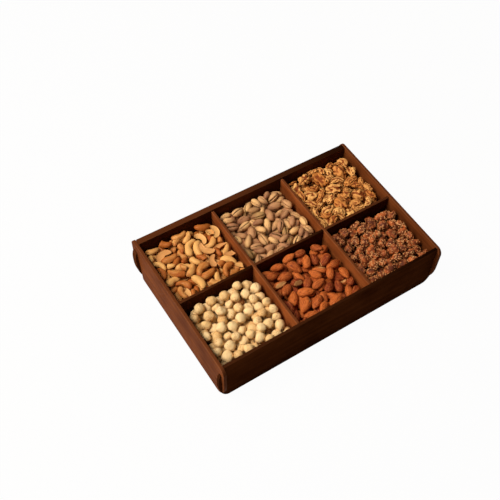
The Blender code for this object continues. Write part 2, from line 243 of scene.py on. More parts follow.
class Shape:
    """Points, faces and stored values of one piece, gathered surface by surface."""

    def __init__(self):
        self.points = []
        self.faces = []
        self.values = {}
        self.count = 0

    def add(self, points, faces, **values):
        """Adds a surface. Faces are arrays of point numbers, one array for each face size."""
        for face in faces:
            self.faces.append(np.asarray(face) + self.count)
        for name, value in values.items():
            self.values.setdefault(name, []).append(value)
        self.points.append(points)
        self.count += len(points)

    def build(self, name, material):
        """The object of all the surfaces, at the origin. Faces of up to four corners are smooth."""
        corners = np.concatenate([face.ravel() for face in self.faces])
        sizes = np.concatenate([np.full(len(face), face.shape[1]) for face in self.faces])
        mesh = bpy.data.meshes.new(name)
        mesh.vertices.add(self.count)
        mesh.vertices.foreach_set("co", np.concatenate(self.points).astype(np.float32).ravel())
        mesh.loops.add(len(corners))
        mesh.loops.foreach_set("vertex_index", corners.astype(np.int32))
        mesh.polygons.add(len(sizes))
        mesh.polygons.foreach_set("loop_start", (np.cumsum(sizes) - sizes).astype(np.int32))
        for key, parts in self.values.items():
            value = np.concatenate(parts).astype(np.float32)
            kind = "FLOAT_VECTOR" if value.ndim == 2 else "FLOAT"
            layer = mesh.attributes.new(key, kind, "POINT")
            layer.data.foreach_set("vector" if value.ndim == 2 else "value", value.ravel())
        small = [face.shape[1] <= 4 for face in self.faces]
        smooth = np.repeat(small, [len(face) for face in self.faces])
        mesh.polygons.foreach_set("use_smooth", smooth)
        mesh.update(calc_edges=True)
        mesh.validate()
        mesh.materials.append(material)
        obj = bpy.data.objects.new(name, mesh)
        bpy.context.scene.collection.objects.link(obj)
        return obj


def edge_line(low, high, edge, inward, corner, slots):
    """A board's long edge from low to high, with its rounded ends and the slots cut into it.

    A corner is (run, rise, drop): the edge is rise * (1 - sin t) further in where its place is
    run * (1 - cos t) from the end, and outside the slots it lies drop further in.
    """
    run, rise, drop = corner
    sweep = np.linspace(0, math.pi / 2, ear_steps + 1)
    places = run * (1 - np.cos(sweep))
    heights = drop + rise * (1 - np.sin(sweep))
    places = np.concatenate([low + places, high - places[::-1]])
    heights = edge + inward * np.concatenate([heights, heights[::-1]])
    plain = (places, heights)
    for middle, width, end in slots:
        near = middle - width / 2
        far = middle + width / 2
        mouth = np.interp((near, far), *plain)
        mouth[1 if 2 * middle < low + high else 0] -= inward * drop
        left = places < near - 2 * arris
        right = places > far + 2 * arris
        places = np.concatenate([places[left], (near, near, far, far), places[right]])
        heights = np.concatenate([heights[left], (mouth[0], end, end, mouth[1]), heights[right]])
    return np.stack([places, heights], axis=1)


def board_outline(low, high, corners, foot_slots, top_slots):
    """A board's outline, anticlockwise from its foot, as places along it and heights."""
    foot = edge_line(low[0], high[0], low[1], 1, corners[0], foot_slots)
    top = edge_line(low[0], high[0], high[1], -1, corners[1], top_slots)
    return np.concatenate([foot, top[::-1]])


def inset(outline, distance):
    """An outline moved inwards. Each corner moves along (n1 + n2) / (1 + n1 . n2)."""
    along = np.roll(outline, -1, axis=0) - outline
    along /= np.linalg.norm(along, axis=1)[:, None]
    after = np.stack([-along[:, 1], along[:, 0]], axis=1)
    before = np.roll(after, 1, axis=0)
    share = 1 + (before * after).sum(axis=1)[:, None]
    return outline + distance * (before + after) / share


def slab(name, outline, low, high, axis, material):
    """A board of an outline, between two places on the axis across it, with rounded arrises.

    Its points keep how far they are round to the cut edge, and how much the arris is lightened
    there, by rubbed wear and by a painted highlight.
    """
    sweep = np.linspace(0, math.pi / 2, arris_steps + 1)
    insets = arris * (1 - np.sin(sweep))
    depths = arris * (1 - np.cos(sweep))
    wear_and_highlight = np.sin(2 * sweep) ** 0.5
    places = np.concatenate([low + depths, high - depths[::-1]])
    distances = np.concatenate([insets, insets[::-1]])
    wear = np.concatenate([wear_and_highlight, wear_and_highlight[::-1]])
    count = len(outline)
    points = np.empty((len(places), count, 3))
    for ring, place, distance in zip(points, places, distances):
        flat = inset(outline, distance)
        ring[:, axis] = place
        ring[:, 1 - axis] = flat[:, 0]
        ring[:, 2] = flat[:, 1]
    here = np.arange(count * len(places)).reshape(len(places), count)
    beside = np.roll(here, -1, axis=1)
    walls = np.stack([here[:-1], beside[:-1], beside[1:], here[1:]], axis=-1).reshape(-1, 4)
    faces = [walls, here[:1, ::-1], here[-1:]]
    if axis == 1:
        faces = [face[:, ::-1] for face in faces]
    cut = np.repeat(1 - distances / arris, count)
    shape = Shape()
    shape.add(points.reshape(-1, 3), faces, wear=np.repeat(wear, count), cut=cut)
    return shape.build(name, material)


def board(node, body, axis, corners, crossed, from_foot, material, trim=0.0):
    """A board that stands for its node, with slots for the boards that cross it."""
    low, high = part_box(node)
    lap = low.z + (high.z - low.z) * lap_share
    slots = []
    for other in crossed:
        other_low, other_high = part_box(other)
        middle = (other_low[1 - axis] + other_high[1 - axis]) / 2
        width = other_high[1 - axis] - other_low[1 - axis] + 2 * slot_gap
        slots.append((middle, width, lap + slot_gap / 2 * (1 if from_foot else -1)))
    outline = board_outline(
        (low[1 - axis] + trim, low.z),
        (high[1 - axis] - trim, high.z),
        corners,
        slots if from_foot else [],
        [] if from_foot else slots,
    )
    piece = slab(f"{node}_wood", outline, low[axis], high[axis], axis, material)
    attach(piece, body)
    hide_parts(node)


# The front, lengthwise and crosswise woods are darkened by painted shade; the dividers' wood is
# not.
front_wood = wood_material("stained_wood_front_painted_shade", 0, long_painted_shade, front_edge_shade)
wood_along = wood_material("stained_wood_lengthwise_painted_shade", 0, long_painted_shade, edge_shade)
wood_across = wood_material("stained_wood_crosswise_painted_shade", 1, side_painted_shade, side_edge_shade, side_gloss)
side_boards = ("left_board", "right_board")
long_corners = (long_foot_corner, long_top_corner)
side_corners = (side_foot_corner, side_top_corner)
long_boards = {"front_board": front_wood, "back_board": wood_along}
for node, wood in long_boards.items():
    board(node, "tray", 1, long_corners, side_boards, False, wood, ear_trim)
for node in side_boards:
    board(node, "tray", 0, side_corners, long_boards, True, wood_across)


# Base panel: a thin plain panel of the same wood, stained darker, glued in flush between the four
# boards. Its own solid shows.

base_shade = 0.30
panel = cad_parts["base_panel"]
panel_wood = wood_material("stained_wood_base", 0, base_shade)
for slot in panel.material_slots:
    slot.material = panel_wood


# Dividers: three thin boards of the same plywood with square ends. The two cross dividers are
# halved over the long one, and all three stand loose in the tray and lift out.

divider_corner = (0.0010, 0.0010, 0)
divider_shade = 0.95
divider_edge_shade = 0.97
divider_corners = (divider_corner, divider_corner)
divider_wood = wood_material("stained_wood_dividers", 1, divider_shade, divider_edge_shade)
cross_dividers = ("left_cross_divider", "right_cross_divider")
node = "long_divider"
# The long divider takes the lengthwise wood, whose faces carry painted shade.
board(node, node, 1, divider_corners, cross_dividers, False, wood_along)
for node in cross_dividers:
    board(node, node, 0, divider_corners, ("long_divider",), True, divider_wood)


# Cashews: roasted kernels, cream to golden and toasted in places. Some are split in half, with a
# hollowed flat face, and some are broken off. They lie loose in the rear left compartment.

cashew_span = 0.0190
cashew_girth = 0.0092
cashew_depth = 0.0085
cashew_half_share = 0.20
cashew_broken_share = 0.22
cashew_sway = 0.0010
cashew_twist = 0.0008
cashew_relief = 0.0005
cashew_seed = 1
cashew_roll = 0.7
cashew_tilt = 0.40
cashew_rear_top = 0.0675
cashew_cream = (0.725, 0.410, 0.143)
cashew_gold = (0.410, 0.130, 0.024)
cashew_toasted = (0.300, 0.070, 0.013)
cashew_inside = (0.760, 0.440, 0.180)


def split_ball(ball):
    """The place along the nut, the two parts of the direction round it, and its radius there."""
    radius = np.hypot(ball[:, 1], ball[:, 2])
    safe = np.maximum(radius, 1e-9)
    return ball[:, 0], ball[:, 1] / safe, ball[:, 2] / safe, radius


def ripple(points, rng, waves, scale):
    """Smooth noise from about -1 to 1: a sum of sines along random directions."""
    directions = rng.normal(size=(waves, 3)) * scale
    phases = rng.uniform(0, 2 * math.pi, waves)
    return np.sin(points @ directions.T + phases).sum(axis=1) * math.sqrt(2 / waves) / 1.6


def bell(value, width):
    """exp(-(value / width)^2)."""
    return np.exp(-((value / width) ** 2))


def cashew(ball, rng):
    """A blunt sausage bent along an arc of 2 * bend, with a seam along its back and front.

    A broken one ends flat at the place cut, and a split one has its lower half dished inwards.
    """
    along, side, up, _ = split_ball(ball)
    bend = rng.uniform(0.75, 1.40)
    head = rng.uniform(0.10, 0.28)
    size = rng.uniform(0.84, 1.12)
    bow = size * cashew_span / 2 / math.sin(bend)
    cut = rng.uniform(-0.1, 0.5) if rng.random() < cashew_broken_share else 1.0
    kept = np.minimum(along, cut)
    closing = 1 - np.clip((along - cut) / (1.001 - cut), 0, 1)
    full = np.sqrt(np.clip(1 - np.abs(kept) ** 2.5, 0, 1)) * closing
    waist = 1 - 0.12 * bell(kept + 0.15, 0.4)
    seam = 1 - 0.09 * bell(up, 0.16)
    lumps = 1 + 0.08 * ripple(ball, rng, 6, 2.6)
    girth = size * full * (1 + head * kept) * waist * seam * lumps
    outward = bow + cashew_girth / 2 * side * girth
    turn = bend * kept + 0.10 * rng.uniform(-1, 1) * kept**2
    z = cashew_depth / 2 * up * girth
    mask = (along > cut).astype(float)
    if rng.random() < cashew_half_share:
        mask = (z < 0).astype(float)
        z = np.where(z < 0, -0.3 * z, z)
    z = z + cashew_sway * rng.uniform(-1, 1) * kept**2 + cashew_twist * rng.uniform(-1, 1) * kept
    x = outward * np.sin(turn)
    y = outward * np.cos(turn) - bow * 0.85
    return np.stack([x, y, z], axis=1), mask


def ball_grid(rings, segments):
    """Points of the unit ball, first and last its poles on X, and the faces between them."""
    tilt = np.linspace(0, math.pi, rings + 1)[1:-1, None]
    turn = np.linspace(0, 2 * math.pi, segments, endpoint=False)[None, :]
    x = np.cos(tilt) + 0 * turn
    y = np.sin(tilt) * np.cos(turn)
    z = np.sin(tilt) * np.sin(turn)
    middle = np.stack([x, y, z], axis=-1).reshape(-1, 3)
    points = np.concatenate([[(1, 0, 0)], middle, [(-1, 0, 0)]])
    here = 1 + np.arange(middle.shape[0]).reshape(rings - 1, segments)
    beside = np.roll(here, -1, axis=1)
    quads = np.stack([here[:-1], here[1:], beside[1:], beside[:-1]], axis=-1).reshape(-1, 4)
    first = np.stack([np.zeros(segments, int), here[0], beside[0]], axis=-1)
    last = np.stack([here[-1], np.full(segments, len(points) - 1), beside[-1]], axis=-1)
    return points, [quads, np.concatenate([first, last])]


coarse_grid = ball_grid(6, 10)


def one_surface(form, grid, seed):
    """A nut that is one closed surface, as a list of (points, faces, mask, ball)."""
    ball, faces = grid
    points, mask = form(ball, np.random.default_rng(seed))
    return [(points, faces, mask, ball)]


def nut_maker(form, grid):
    """A function that makes nuts of one surface: on this grid where fine, or else coarse."""

    def make(seed, fine):
        return one_surface(form, grid if fine else coarse_grid, seed)

    return make


def add_nut(shape, surfaces, turn, shift, seed):
    """Adds a nut to a piece, turned and placed, with the values that its material reads."""
    rng = np.random.default_rng(seed + 3)
    offset = rng.uniform(0, 50, 3)
    tint = rng.random()
    for points, faces, mask, ball in surfaces:
        shape.add(
            points @ turn.T + shift,
            faces,
            mask=mask,
            along=ball[:, 0],
            grain=ball + offset,
            tint=np.full(len(points), tint),
        )


def x_turn(angle):
    """The matrix of a turn about X, in radians."""
    c, s = math.cos(angle), math.sin(angle)
    return np.array([[1, 0, 0], [0, c, -s], [0, s, c]])


def y_turn(angle):
    """The matrix of a turn about Y, in radians."""
    c, s = math.cos(angle), math.sin(angle)
    return np.array([[c, 0, s], [0, 1, 0], [-s, 0, c]])


def z_turn(angle):
    """The matrix of a turn about Z, in radians."""
    c, s = math.cos(angle), math.sin(angle)
    return np.array([[c, -s, 0], [s, c, 0], [0, 0, 1]])


# Heaps: each compartment is a grid of heights seen from above. A nut is tried in some turns at many
# places, and dropped where its top comes to lie lowest, until many in a row find no place.

pile_cell = 0.0006
pile_turns = 5
pile_places = 300
pile_patience = 70
pile_nudges = 8
wall_room = 0.0006
squeeze = np.array([0.98, 0.98, 1.0])
settle = 0.0006
seen_depth = 0.0170
heap_rise = 0.0028
corner_fall = 0.0080
left_fall = 0.0015
level_wave = 0.0012
loose_gap = 0.0003
loose_numbers = range(1, 6)
steps_right = np.array([-1, 0, 1, -1, 1, -1, 0, 1])
steps_rear = np.array([-1, -1, -1, 0, 0, 1, 1, 1])
seeds_per_kind = 10000
seeds_per_nut = 10
first_loose_seed = 9000


def spread(grid, pick):
    """The pick, lowest or highest, of each cell and the eight round it."""
    padded = np.pad(grid, 1, mode="edge")
    rows = pick(pick(padded[:-2], padded[1:-1]), padded[2:])
    return pick(pick(rows[:, :-2], rows[:, 1:-1]), rows[:, 2:])


def outline_grids(points):
    """Where a nut's first cell lies, and its lowest and highest height over each cell."""
    corner = points[:, :2].min(axis=0)
    cells = ((points[:, :2] - corner) / pile_cell).astype(int) + 1
    shape = cells.max(axis=0) + 2
    under = np.full(shape, np.inf)
    over = np.full(shape, -np.inf)
    np.minimum.at(under, (cells[:, 0], cells[:, 1]), points[:, 2])
    np.maximum.at(over, (cells[:, 0], cells[:, 1]), points[:, 2])
    under = spread(spread(under, np.minimum), np.maximum)
    over = spread(spread(over, np.maximum), np.minimum)
    return corner - pile_cell, under, over


class Pile:
    """A heap in its compartment, as grids seen from above.

    They hold its heights, the lowest sides of the loose nuts over it and the level of its top.
    """

    def __init__(self, low, high, top, rear_top, rng):
        self.low = np.array(low[:2]) + wall_room
        shape = ((np.array(high[:2]) - wall_room - self.low) / pile_cell).astype(int)
        self.heights = np.full(shape, float(low[2]))
        self.ceiling = np.full(shape, np.inf)
        right = np.linspace(-1, 1, shape[0])[:, None]
        rear = np.linspace(-1, 1, shape[1])[None, :]
        waves = np.sin(rng.uniform(2, 4) * right + rng.uniform(0, 6))
        waves = waves * np.sin(rng.uniform(2, 4) * rear + rng.uniform(0, 6))
        fall = corner_fall * (right * rear) ** 4 + left_fall * np.clip(-right, 0, 1) ** 3
        lean = (rear_top - top) * np.clip(rear, 0, 1) ** 1.5
        self.level = top + lean - fall + level_wave * waves

    def keep_below(self, points):
        """Keeps the heap below a loose nut that lies at these points."""
        corner, under, _ = outline_grids(points)
        i, j = np.round((corner - self.low) / pile_cell).astype(int)
        rows = slice(max(i, 0), i + under.shape[0])
        columns = slice(max(j, 0), j + under.shape[1])
        part = self.ceiling[rows, columns]
        clipped = under[max(-i, 0) :, max(-j, 0) :][: part.shape[0], : part.shape[1]]
        self.ceiling[rows, columns] = np.minimum(part, clipped - loose_gap)

    def rest(self, under, over, i, j):
        """The height at which a nut rests at each place, and how far its top is too high."""
        windows = np.lib.stride_tricks.sliding_window_view
        lift = (windows(self.heights, under.shape)[i, j] - under).max(axis=(1, 2))
        roof = windows(self.ceiling, under.shape)[i, j]
        blocked = (lift[:, None, None] + over > roof).any(axis=(1, 2))
        middle = self.level[i + under.shape[0] // 2, j + under.shape[1] // 2]
        blocked |= lift + over.max() > middle
        return np.where(blocked, np.inf, lift)

    def drop(self, poses, rng):
        """Drops a nut where its top lies lowest, in the best of its poses.

        Gives the pose's number, the shift and whether it lies too deep to be seen, or None.
        """
        best = None
        for number, points in enumerate(poses):
            corner, under, over = outline_grids(points)
            room = np.array(self.heights.shape) - under.shape
            i = rng.integers(room[0] + 1, size=pile_places)
            j = rng.integers(room[1] + 1, size=pile_places)
            lift = self.rest(under, over, i, j)
            k = int(np.argmin(lift))
            if np.isinf(lift[k]) or (best and lift[k] + over.max() >= best[0]):
                continue
            best = (lift[k] + over.max(), number, corner, under, over, lift[k], i[k], j[k])
        if best is None:
            return None
        _, number, corner, under, over, lift, i, j = best
        room = np.array(self.heights.shape) - under.shape
        for _ in range(pile_nudges):
            near_i = np.clip(i + steps_right, 0, room[0])
            near_j = np.clip(j + steps_rear, 0, room[1])
            lower = self.rest(under, over, near_i, near_j)
            k = int(np.argmin(lower))
            if lower[k] >= lift:
                break
            lift, i, j = lower[k], near_i[k], near_j[k]
        part = self.heights[i : i + under.shape[0], j : j + under.shape[1]]
        np.maximum(part, lift - settle + over, out=part)
        place = self.low + np.array([i, j]) * pile_cell - corner
        middle = self.level[i + under.shape[0] // 2, j + under.shape[1] // 2]
        hidden = lift + over.max() < middle - seen_depth
        return number, np.array([place[0], place[1], lift - settle]), hidden


def lying_turn(rng, roll_spread, tilt_spread):
    """A turn for a nut that lies down: any way round, with some roll and tilt."""
    roll = rng.normal(0, roll_spread) + rng.choice((0, math.pi))
    tilt = rng.normal(0, tilt_spread)
    return z_turn(rng.uniform(0, 2 * math.pi)) @ y_turn(tilt) @ x_turn(roll)


def main_axes(points, faces):
    """A surface's middle and its main axes as rows, worked out from its triangles.

    The axes point to the longer tail of the surface along the first of them and one other.
    """
    corners = points[faces]
    crosses = np.cross(corners[:, 1] - corners[:, 0], corners[:, 2] - corners[:, 0])
    areas = np.linalg.norm(crosses, axis=1)
    centres = corners.mean(axis=1)
    middle = (centres * areas[:, None]).sum(axis=0) / areas.sum()
    away = centres - middle
    spreads, vectors = np.linalg.eigh((away * areas[:, None]).T @ away / areas.sum())
    axes = vectors.T[::-1].copy()
    tails = (areas[:, None] * (away @ axes.T) ** 3).sum(axis=0) / spreads[::-1] ** 1.5
    second = 1 + int(np.argmax(np.abs(tails[1:])))
    for number in (0, second):
        if tails[number] < 0:
            axes[number] *= -1
    axes[3 - second] *= np.linalg.det(axes)
    return middle, axes


def triangles_of(faces):
    """Triangle corners of a list of face arrays."""
    parts = []
    for face in faces:
        for k in range(1, face.shape[1] - 1):
            parts.append(face[:, [0, k, k + 1]])
    return np.concatenate(parts)


def node_mesh(node):
    """The points and triangles of a node of the frame."""
    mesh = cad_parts[node].data
    points = np.empty(len(mesh.vertices) * 3, np.float32)
    mesh.vertices.foreach_get("co", points)
    mesh.calc_loop_triangles()
    faces = np.empty(len(mesh.loop_triangles) * 3, np.int32)
    mesh.loop_triangles.foreach_get("vertices", faces)
    return points.reshape(-1, 3).astype(float), faces.reshape(-1, 3)


def fit_to_node(surfaces, node):
    """The turn and shift that lay a nut where its node lies, by their main axes."""
    middle, axes = main_axes(*node_mesh(node))
    whole = Shape()
    for points, faces, _, _ in surfaces:
        whole.add(points, faces)
    own_middle, own_axes = main_axes(np.concatenate(whole.points), triangles_of(whole.faces))
    turn = axes.T @ own_axes
    return turn, middle - turn @ own_middle


def add_loose_nuts(kind, body, make_nut, seed, pile, material):
    """The five nuts that lie on top, each a piece of its own in its node's place."""
    for number in loose_numbers:
        node = f"{kind}_{number}"
        own_seed = seed * seeds_per_kind + first_loose_seed + seeds_per_nut * number
        surfaces = make_nut(own_seed, True)
        turn, shift = fit_to_node(surfaces, node)
        shape = Shape()
        add_nut(shape, surfaces, turn, shift, own_seed)
        pile.keep_below(np.concatenate(shape.points))
        piece = shape.build(f"{kind}_nut_{number}", material)
        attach(piece, body)
        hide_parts(node)


def fill_compartment(kind, body, make_nut, seed, roll_spread, tilt_spread, rear_top, material):
    """A compartment's loose nuts and the heap below them. Nuts that the heap hides are coarse."""
    rng = np.random.default_rng(seed)
    low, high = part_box(f"{kind}_fill")
    tops = [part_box(f"{kind}_{number}")[1].z for number in loose_numbers]
    pile = Pile(low, high, float(np.mean(tops)) + heap_rise, rear_top, rng)
    add_loose_nuts(kind, body, make_nut, seed, pile, material)
    shape = Shape()
    number = 0
    missed = 0
    while missed < pile_patience:
        number += 1
        own_seed = seed * seeds_per_kind + seeds_per_nut * number
        surfaces = make_nut(own_seed, True)
        points = np.concatenate([surface[0] for surface in surfaces])
        turns = [lying_turn(rng, roll_spread, tilt_spread) for _ in range(pile_turns)]
        found = pile.drop([points @ turn.T * squeeze for turn in turns], rng)
        if found is None:
            missed += 1
            continue
        missed = 0
        chosen, shift, hidden = found
        if hidden:
            surfaces = make_nut(own_seed, False)
        add_nut(shape, surfaces, turns[chosen], shift, own_seed)
    piece = shape.build(f"{kind}_heap", material)
    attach(piece, body)
    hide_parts(f"{kind}_fill")


make_cashew = nut_maker(cashew, ball_grid(22, 20))

material, place, paint = new_material("cashew_kernel", Specular_IOR_Level=0.15)
grain = stored(place, "grain")
tint = stored(place, "tint")
cloud = grain.noise(1.3, 3.0)
spots = grain.noise(4.0, 4.0)
ends = stored(place, "along").math("ABSOLUTE").rise(0.55, 1.0)
golden = (cloud * 0.8 + tint * 1.1 - 0.45).rise(0.10, 0.85)
base = golden.between(cashew_cream, cashew_gold)
toast = (spots * 1.0 + ends * 0.30 + tint * 0.45).rise(0.72, 1.15)
base = (toast * 0.85).between(base, cashew_toasted)
base = (stored(place, "mask") * 0.5).between(base, cashew_inside)
paint(
    Base_Color=base,
    Roughness=spots * 0.3 + 0.32,
    Normal=(grain.noise(9.0, 4.0) * 0.7 + cloud * 0.3).bump(cashew_relief, 0.6),
)
habit = (cashew_seed, cashew_roll, cashew_tilt, cashew_rear_top)
fill_compartment("cashew", "cashews", make_cashew, *habit, material)


# Pistachios: kernels in their shells, two slender tan halves that are hinged at the narrow end and
# gape a little round a brown-skinned green kernel. They lie loose in the rear middle compartment.

pistachio_length = 0.0178
pistachio_width = 0.0088
pistachio_depth = 0.0088
pistachio_wall_share = 0.84
pistachio_sway = 0.0004
pistachio_relief = 0.0005
pip_shift = 0.0006
pistachio_seed = 2
pistachio_roll = 1.2
pistachio_tilt = 0.35
pistachio_rear_top = 0.0680
shell_pale = (0.770, 0.480, 0.222)
shell_tan = (0.410, 0.198, 0.108)
shell_green = (0.420, 0.300, 0.100)
shell_stain = (0.190, 0.075, 0.040)
pip_green = (0.200, 0.130, 0.035)
pip_brown = (0.130, 0.040, 0.028)


def pistachio_oval(ball, rng):
    """A closed shell: an oval that narrows to its hinge, with ribs along it."""
    along, side, up, radius = split_ball(ball)
    size = rng.uniform(0.86, 1.10)
    slim = rng.uniform(0.90, 1.12)
    tip = np.clip(along, 0, 1)
    round_angle = np.arctan2(up, side)
    ribs = 1 + 0.014 * np.sin(7 * round_angle + rng.uniform(0, 6)) * radius
    girth = radius * (1 - 0.14 * along - 0.10 * tip**4) * ribs * slim
    girth = girth * (1 + 0.05 * ripple(ball, rng, 5, 1.8))
    x = size * pistachio_length / 2 * along
    y = size * pistachio_width / 2 * side * girth + pistachio_sway * rng.uniform(-1, 1) * along**2
    z = size * pistachio_depth / 2 * up * girth
    return np.stack([x, y, z], axis=1), np.zeros(len(ball))


def half_shell(ball, rng):
    """Half a shell with its wall: the ball's upper turn is its outside, the lower its inside."""
    turn = np.arctan2(ball[:, 2], ball[:, 1]) % (2 * math.pi)
    outside = turn <= math.pi
    angle = np.where(outside, turn - math.pi / 2, 1.5 * math.pi - turn)
    radius = np.hypot(ball[:, 1], ball[:, 2])
    bent = np.stack([ball[:, 0], radius * np.cos(angle), radius * np.sin(angle)], axis=1)
    points, mask = pistachio_oval(bent, rng)
    points[~outside] *= pistachio_wall_share
    return points, mask


shell_grid = ball_grid(11, 18)
pip_grid = ball_grid(8, 10)


def make_pistachio(seed, fine):
    """Two half shells that gape from their hinge, and the kernel between them."""
    if not fine:
        return one_surface(pistachio_oval, coarse_grid, seed)
    gape = 0.002 + 0.065 * np.random.default_rng(seed + 2).random() ** 3
    ball, faces = shell_grid
    surfaces = []
    for side in (1, -1):
        points, mask = half_shell(ball, np.random.default_rng(seed))
        points = points @ x_turn(0 if side > 0 else math.pi).T
        hinge = np.array([points[:, 0].max() * 0.92, 0, 0])
        points = (points - hinge) @ z_turn(-side * gape).T + hinge
        surfaces.append((points, faces, mask, ball))
    pip, faces = pip_grid
    points, mask = pistachio_oval(pip, np.random.default_rng(seed))
    points = points * (0.80, 0.70 + gape, 0.80) - (pip_shift, 0, 0)
    surfaces.append((points, faces, mask + 1, pip))
    return surfaces


material, place, paint = new_material("pistachio_shell", Specular_IOR_Level=0.12)
grain = stored(place, "grain")
tint = stored(place, "tint")
along = stored(place, "along")
cloud = grain.noise(1.6, 4.0)
lines = grain.stretched((1.2, 8.0, 8.0)).noise(1.0, 3.0)
shell = (cloud * 0.5 + tint * 0.9 - 0.2).rise(0.1, 0.9).between(shell_pale, shell_tan)
shell = (tint.rise(0.80, 0.95) * 0.5).between(shell, shell_green)
stain = (along * 0.35 + lines * 0.9 + cloud * 0.4).rise(0.60, 1.05)
shell = (stain * 0.85).between(shell, shell_stain)
kernel = grain.noise(2.4, 3.0).rise(0.42, 0.62).between(pip_green, pip_brown)
paint(
    Base_Color=stored(place, "mask").between(shell, kernel),
    Roughness=cloud * 0.25 + 0.40,
    Normal=(lines * 0.8 + cloud * 0.5).bump(pistachio_relief, 0.6),
)
habit = (pistachio_seed, pistachio_roll, pistachio_tilt, pistachio_rear_top)
fill_compartment("pistachio", "pistachios", make_pistachio, *habit, material)


# Walnuts: halves and pieces of shelled kernels, puffed into folds that are golden on their ridges
# and reddish brown in their creases, partly their darker skin and partly painted shade. They lie
# loose in the rear right compartment.

walnut_length = 0.0235
walnut_width = 0.0155
walnut_height = 0.0125
walnut_depth = 0.54
walnut_lobes = 27
golden_turn = 2.39996
walnut_piece_share = 0.55
walnut_relief = 0.0004
walnut_seed = 3
walnut_roll = 0.6
walnut_tilt = 0.45
walnut_rear_top = 0.0675
ridge_pale = (0.850, 0.480, 0.168)
ridge_gold = (0.560, 0.220, 0.054)
crease_skin_and_shade = (0.235, 0.060, 0.016)


def planed(ball, rng, count, depth):
    """The share of its radius that a point keeps inside random planes cut up to depth into it."""
    directions = rng.normal(size=(count, 3))
    directions /= np.linalg.norm(directions, axis=1)[:, None]
    reach = np.maximum(ball @ directions.T, 1e-9)
    limits = 1 - depth * rng.uniform(0.3, 1.0, count)
    return np.minimum(1, limits / reach).min(axis=1)


def walnut_folds(ball, rng, count):
    """How high on a fold each point lies, from 0 in a crease to 1 on a puffed lobe.

    Each lobe is sqrt(1 - (d / width)^2), and the highest counts. The distance d from its middle is
    taken between points that a ripple has moved, and is shorter along the lobe than across it.
    """
    warp = np.stack([ripple(ball, rng, 4, 2.6) for _ in range(3)], axis=1)
    height = 1 - (2 * np.arange(count) + 1) / count
    turn = golden_turn * np.arange(count) + rng.uniform(0, 6)
    middles = np.stack([height, *np.sqrt(1 - height**2) * (np.cos(turn), np.sin(turn))], axis=1)
    middles += rng.normal(0, 0.12, size=(count, 3))
    middles /= np.linalg.norm(middles, axis=1)[:, None]
    runs = np.cross(middles, rng.normal(size=(count, 3)))
    runs /= np.linalg.norm(runs, axis=1)[:, None]
    away = (ball + 0.16 * warp)[:, None, :] - middles
    square = (away**2).sum(axis=2) - 0.70 * (away * runs).sum(axis=2) ** 2
    widths = rng.uniform(0.31, 0.46, count)
    lobe = np.sqrt(np.clip(1 - square / widths**2, 0, 1)).max(axis=1)
    cleft = 1 - 0.8 * bell(ball[:, 1] + 0.10 * warp[:, 0], 0.14) * np.clip(ball[:, 2] + 0.3, 0, 1)
    return np.maximum(lobe, 0.2) * cleft


def walnut(ball, rng):
    """Half a kernel, two folded lobes over a flatter underside, or a bent piece of one lobe."""
    size = rng.uniform(0.85, 1.12)
    piece = rng.random() < walnut_piece_share
    broken = rng.uniform(0.75, 1.0) if piece else 1.0
    slim = rng.uniform(0.54, 0.82) if piece else 1.05
    bend = rng.uniform(0.4, 1.7) if piece else 0.05
    fold = walnut_folds(ball, rng, walnut_lobes)
    lumps = (1 + 0.14 * ripple(ball, rng, 6, 2.4)) * planed(ball, rng, 4, 0.30)
    reach = (1 - walnut_depth * (1 - fold)) * lumps
    over = np.where(ball[:, 2] > 0, 0.60, 0.40)
    length = size * broken * walnut_length / 2
    y = size * slim * walnut_width / 2 * ball[:, 1] * reach
    z = size * slim * walnut_height * ball[:, 2] * over * reach
    bow = length / bend
    turn = bend * ball[:, 0] * reach
    crease = 1 - fold
    return np.stack([(bow + y) * np.sin(turn), (bow + y) * np.cos(turn) - bow, z], axis=1), crease


make_walnut = nut_maker(walnut, ball_grid(32, 32))

material, place, paint = new_material("walnut_kernel", Specular_IOR_Level=0.08)
grain = stored(place, "grain")
tint = stored(place, "tint")
crease = stored(place, "mask")
skin = grain.noise(4.0, 4.0)
ridge = (skin * 0.7 + tint * 0.7 - 0.1).rise(0.2, 0.95).between(ridge_pale, ridge_gold)
# The creases darken to reddish brown: partly the darker skin, partly painted shade.
base = (crease + skin * 0.3).rise(0.22, 0.70).between(ridge, crease_skin_and_shade)
paint(
    Base_Color=base,
    Roughness=skin * 0.3 + 0.38,
    Normal=(skin * 0.6 + grain.noise(14.0, 3.0) * 0.5).bump(walnut_relief, 0.5),
)
habit = (walnut_seed, walnut_roll, walnut_tilt, walnut_rear_top)
fill_compartment("walnut", "walnuts", make_walnut, *habit, material)


# Hazelnuts: skinned cream kernels with blunt flats and cracks, some shreds of their brown skin, and
# a few with all of it. They lie loose in the front left compartment.

hazelnut_length = 0.0132
hazelnut_girth = 0.0127
hazelnut_hole_share = 0.06
hazelnut_relief = 0.0009
hazelnut_seed = 4
hazelnut_roll = 3.0
hazelnut_tilt = 0.9
hazelnut_rear_top = 0.0675
hazelnut_cream = (0.860, 0.665, 0.385)
hazelnut_tan = (0.740, 0.480, 0.210)
hazelnut_shred = (0.430, 0.210, 0.075)
hazelnut_skin = (0.300, 0.110, 0.035)
hazelnut_crease_shade = (0.300, 0.140, 0.050)


